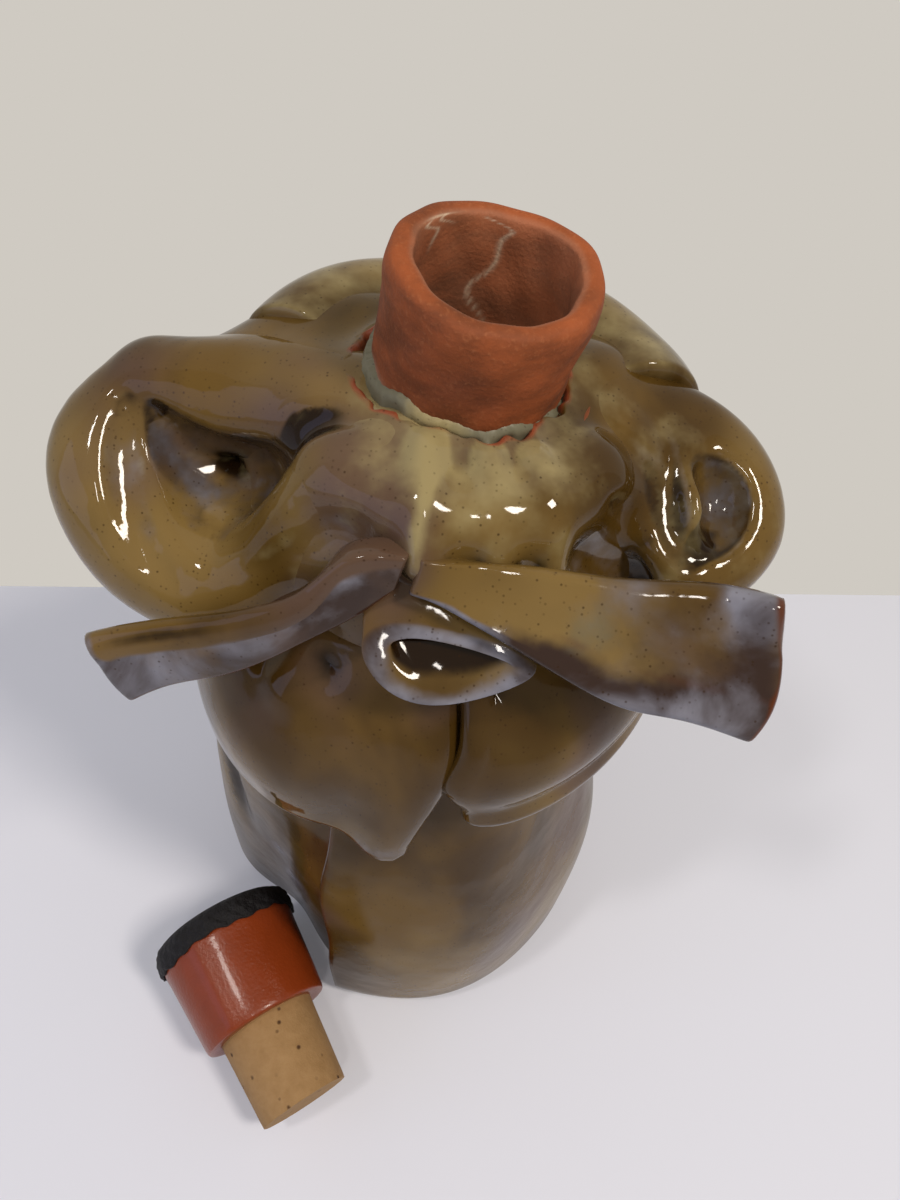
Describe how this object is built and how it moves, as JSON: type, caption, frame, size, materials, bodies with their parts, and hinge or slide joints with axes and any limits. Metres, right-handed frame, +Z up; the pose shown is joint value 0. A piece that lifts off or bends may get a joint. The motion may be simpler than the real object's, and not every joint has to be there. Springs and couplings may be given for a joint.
{
  "type": "figural liquor decanter",
  "caption": "Hand-built glazed stoneware decanter shaped as a figure in a draped smock with a big bow; its terracotta head on a cork is the stopper, lying beside the foot.",
  "frame": {"origin": "middle of the foot on the table, under the bottle", "axes": "+Z up, the figure's front faces -Y, +X to the viewer's right"},
  "size_m": [0.1265, 0.1343, 0.1994],
  "materials": {
    "olive_glaze": "glossy",
    "bare_clay": "matte",
    "red_glaze": "glossy",
    "black_glaze": "satin",
    "cork": "matte"
  },
  "bodies": {
    "bottle": {"skirt_wall": "olive_glaze", "smock_body": "olive_glaze", "back_drape": "olive_glaze", "left_sleeve": "olive_glaze", "right_sleeve": "olive_glaze", "smock_front_left": "olive_glaze", "smock_front_right": "olive_glaze", "bow_knot": "olive_glaze", "bow_left_wing": "olive_glaze", "bow_right_wing": "olive_glaze", "floor_slab": "bare_clay", "torso_wall": "bare_clay", "neck_ring": "bare_clay"},
    "stopper": {"stopper_head": "red_glaze", "stopper_beret": "black_glaze", "stopper_cork": "cork"}
  },
  "joints": [
    {"name": "stopper_lift", "type": "slide", "parent": "bottle", "child": "stopper", "axis": [-0.333, -0.6245, 0.7065], "range_m": [0, 0.14]}
  ]
}
